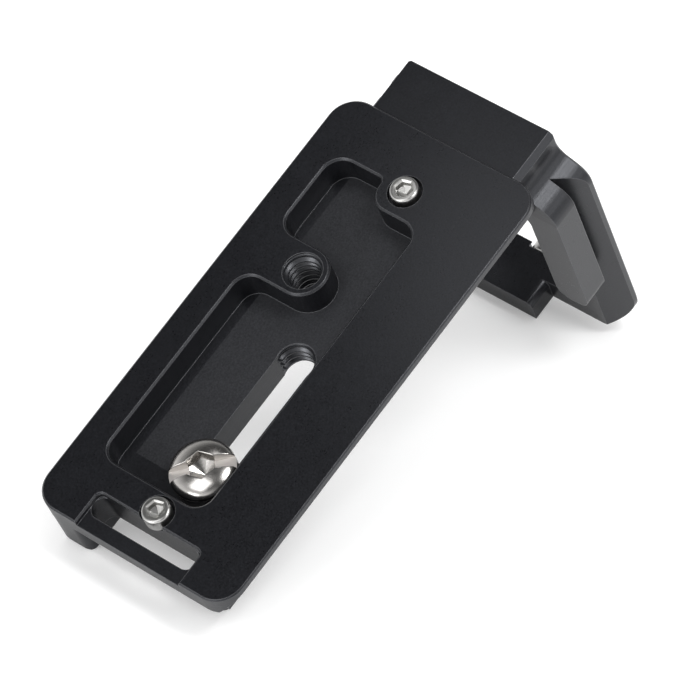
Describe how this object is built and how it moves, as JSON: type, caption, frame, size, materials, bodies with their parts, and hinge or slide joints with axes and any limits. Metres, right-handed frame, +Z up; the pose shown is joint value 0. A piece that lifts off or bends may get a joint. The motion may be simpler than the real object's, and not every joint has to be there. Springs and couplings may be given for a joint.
{
  "type": "l-shaped tripod quick release plate",
  "caption": "L-shaped quick release plate that screws under a camera, with a dovetail along its base and its upright arm, a captive camera screw in a slot, and stop screws.",
  "frame": {"origin": "centre of the overall box's bottom, on the surface that the propped-up plate stands on", "axes": "+X level along the base's length, from its free end to the arm; +Y across the plate; +Z up. The plate stands like a tent on the base's free end and the arm's tip, with the base's dovetail face upwards."},
  "size_m": [0.104, 0.038, 0.0491],
  "materials": {
    "black_anodised": "fine blasted, anodised black, with bright cut edges",
    "polished_stainless": "polished",
    "satin_stainless": "satin"
  },
  "bodies": {
    "bracket": {"l_bracket": "black_anodised", "free_end_stop_screw": "satin_stainless", "arm_side_stop_screw": "satin_stainless", "arm_stop_screw": "satin_stainless"},
    "camera_screw": {"camera_screw": "polished_stainless"}
  },
  "joints": [
    {"name": "camera_screw_slide", "type": "slide", "parent": "bracket", "child": "camera_screw", "axis": [0.8931, 0, 0.4499], "range_m": [0, 0.0224]}
  ]
}
